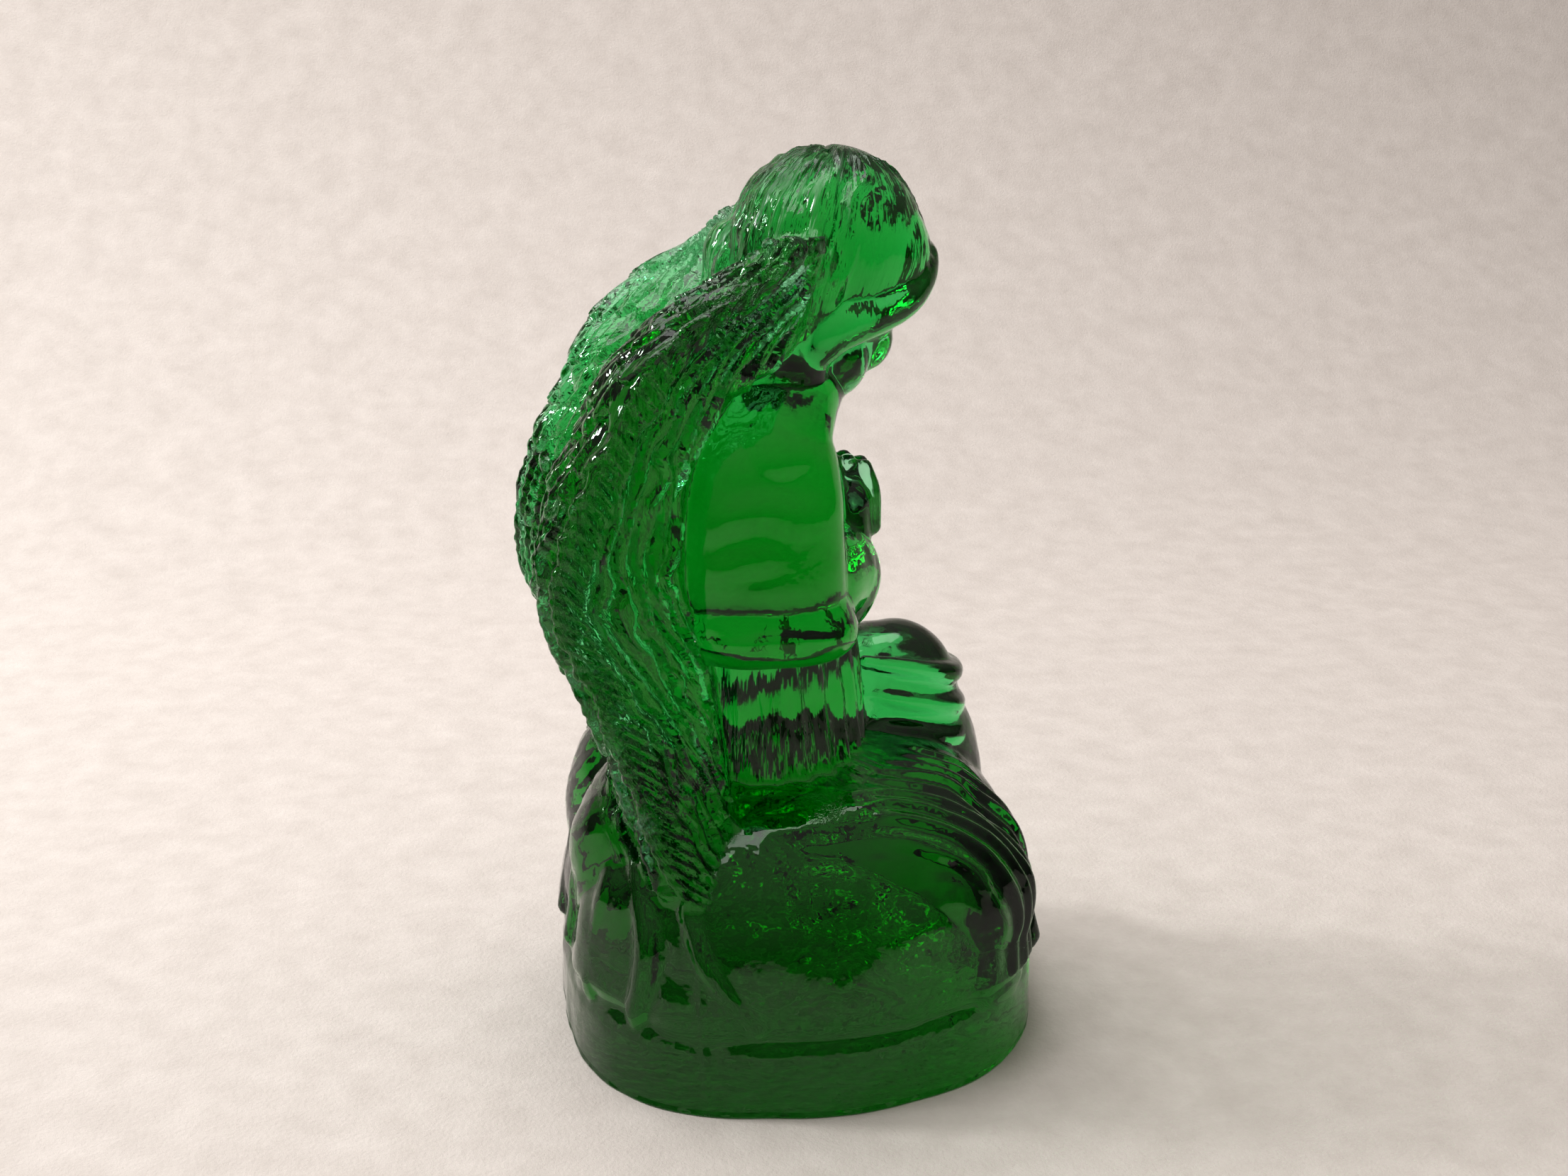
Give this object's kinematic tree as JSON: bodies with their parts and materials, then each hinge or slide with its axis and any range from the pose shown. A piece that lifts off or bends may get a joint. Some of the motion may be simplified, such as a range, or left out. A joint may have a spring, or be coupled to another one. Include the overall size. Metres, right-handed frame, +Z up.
{
  "type": "pressed glass kneeling angel figurine",
  "caption": "Solid green glass figurine of an angel kneeling in prayer, head bowed and wings folded behind, that stands on its own flat underside.",
  "frame": {"origin": "middle of the underside, at the centre of the bounding box's bottom face", "axes": "+Z up through the head, -Y the way the figure faces, -X its right side"},
  "size_m": [0.0876, 0.0884, 0.1498],
  "materials": {
    "green_glass": "clear emerald green, fire polished, pressed in a mould"
  },
  "bodies": {
    "root": {"glass_angel": "green_glass"}
  },
  "joints": []
}
